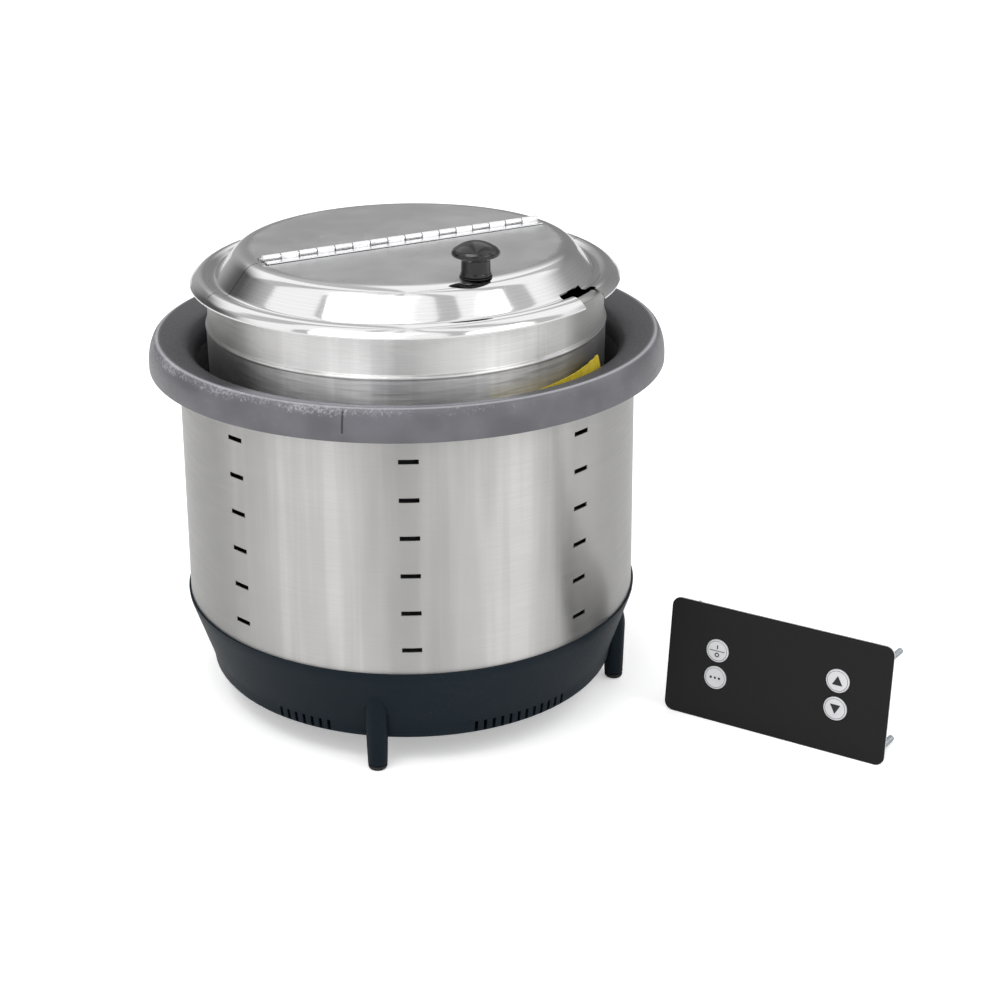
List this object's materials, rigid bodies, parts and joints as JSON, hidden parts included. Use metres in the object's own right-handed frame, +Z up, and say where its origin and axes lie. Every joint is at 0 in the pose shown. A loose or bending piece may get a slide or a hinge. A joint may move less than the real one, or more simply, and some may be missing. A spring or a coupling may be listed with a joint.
{
  "type": "soup kettle",
  "caption": "Drop-in induction soup kettle: slotted steel drum on a footed base, wide resin rim, lift-out steel inset with a hinged cover, and a loose button panel.",
  "frame": {"origin": "centre of the base pan's flat underside, on the kettle's axis, 19 mm above the surface that the feet stand on", "axes": "+Z up along the kettle's axis; front towards -Y; the loose control panel stands to the front right"},
  "size_m": [0.4871, 0.3442, 0.3326],
  "materials": {
    "stainless": "brushed",
    "bright_steel": "polished",
    "navy_plastic": "satin",
    "rim_resin": "satin, slightly scuffed",
    "well_resin": "matte",
    "black_plastic": "gloss",
    "rubber": "matte",
    "copper_coil": "satin",
    "ferrite": "matte",
    "aluminium": "satin",
    "circuit_board": "satin",
    "panel_black": "matte",
    "button_grey": "satin",
    "card": "matte"
  },
  "bodies": {
    "kettle": {"base_pan": "navy_plastic", "outer_shell": "stainless", "rim_ring": "rim_resin", "rim_gasket": "rubber", "well_liner": "well_resin", "coil_shield": "aluminium", "coil_carrier": "black_plastic", "induction_coil": "copper_coil", "temperature_sensor": "aluminium", "power_board": "circuit_board", "heat_sink": "aluminium", "filter_capacitor": "button_grey", "filter_choke": "copper_coil", "terminal_block": "navy_plastic", "fan_frame": "black_plastic", "mains_cord_gland": "black_plastic", "control_cord_gland": "black_plastic", "blank_card": "card", "foot_tip_1": "rubber", "rim_screw_1": "bright_steel", "shield_screw_1": "bright_steel", "foot_tip_2": "rubber", "rim_screw_2": "bright_steel", "shield_screw_2": "bright_steel", "foot_tip_3": "rubber", "rim_screw_3": "bright_steel", "shield_screw_3": "bright_steel", "foot_tip_4": "rubber", "rim_screw_4": "bright_steel", "shield_screw_4": "bright_steel", "ferrite_bar_1": "ferrite", "ferrite_bar_2": "ferrite", "ferrite_bar_3": "ferrite", "ferrite_bar_4": "ferrite", "ferrite_bar_5": "ferrite", "ferrite_bar_6": "ferrite"},
    "inset": {"inset_pan": "stainless"},
    "cover": {"cover_rear": "stainless", "hinge_leaf_rear": "bright_steel", "hinge_pin": "bright_steel"},
    "flap": {"cover_flap": "stainless", "hinge_leaf_flap": "bright_steel", "knob": "black_plastic", "knob_washer": "rubber", "knob_screw": "bright_steel"},
    "fan": {"fan_impeller": "black_plastic"},
    "panel": {"panel_plate": "aluminium", "panel_overlay": "panel_black", "panel_housing": "black_plastic", "control_board": "circuit_board", "panel_cord_grommet": "rubber", "panel_stud_1": "bright_steel", "panel_stud_2": "bright_steel", "panel_stud_3": "bright_steel", "panel_stud_4": "bright_steel"},
    "power_button": {"button_power": "button_grey"},
    "function_button": {"button_function": "button_grey"},
    "up_button": {"button_up": "button_grey"},
    "down_button": {"button_down": "button_grey"}
  },
  "joints": [
    {"name": "inset_lift", "type": "slide", "parent": "kettle", "child": "inset", "axis": [0, 0, 1], "range_m": [0, 0.23]},
    {"name": "cover_lift", "type": "slide", "parent": "inset", "child": "cover", "axis": [0, 0, 1], "range_m": [0, 0.12]},
    {"name": "flap_hinge", "type": "hinge", "parent": "cover", "child": "flap", "pos_m": [0, 0, 0.2928], "axis": [-0.8965, -0.4431, 0], "range_deg": [0, 165]},
    {"name": "fan_spin", "type": "hinge", "parent": "kettle", "child": "fan", "pos_m": [-0.062, -0.042, 0.012], "axis": [0, 0, 1], "continuous": true},
    {"name": "panel_lift", "type": "slide", "parent": "kettle", "child": "panel", "axis": [0, 0, 1], "range_m": [0, 0.15]},
    {"name": "power_press", "type": "slide", "parent": "panel", "child": "power_button", "axis": [0.5303, 0.8357, -0.1426], "range_m": [0, 0.0008], "stiffness_N_per_m": 1500},
    {"name": "function_press", "type": "slide", "parent": "panel", "child": "function_button", "axis": [0.5303, 0.8357, -0.1426], "range_m": [0, 0.0008], "stiffness_N_per_m": 1500},
    {"name": "up_press", "type": "slide", "parent": "panel", "child": "up_button", "axis": [0.5303, 0.8357, -0.1426], "range_m": [0, 0.0008], "stiffness_N_per_m": 1500},
    {"name": "down_press", "type": "slide", "parent": "panel", "child": "down_button", "axis": [0.5303, 0.8357, -0.1426], "range_m": [0, 0.0008], "stiffness_N_per_m": 1500}
  ]
}
